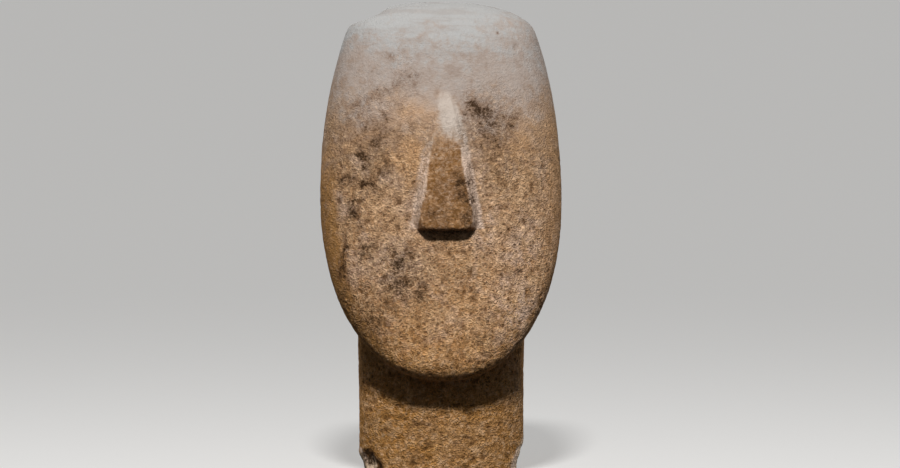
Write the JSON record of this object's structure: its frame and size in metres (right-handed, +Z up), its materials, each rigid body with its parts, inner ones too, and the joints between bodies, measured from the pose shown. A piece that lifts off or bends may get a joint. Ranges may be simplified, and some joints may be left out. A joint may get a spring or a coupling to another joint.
{
  "type": "cycladic figurine head",
  "caption": "Marble head and neck broken from an ancient folded-arm figure: a flat leaning face with a wedge nose, cut flat below the neck.",
  "frame": {"origin": "centre of the flat underside of the neck, on which the head stands", "axes": "+Z up along the neck to the crown, -Y towards the viewer the face looks at, +X to that viewer's right"},
  "size_m": [0.146, 0.1014, 0.289],
  "materials": {
    "marble": "matte"
  },
  "bodies": {
    "root": {"marble_head": "marble"}
  },
  "joints": []
}
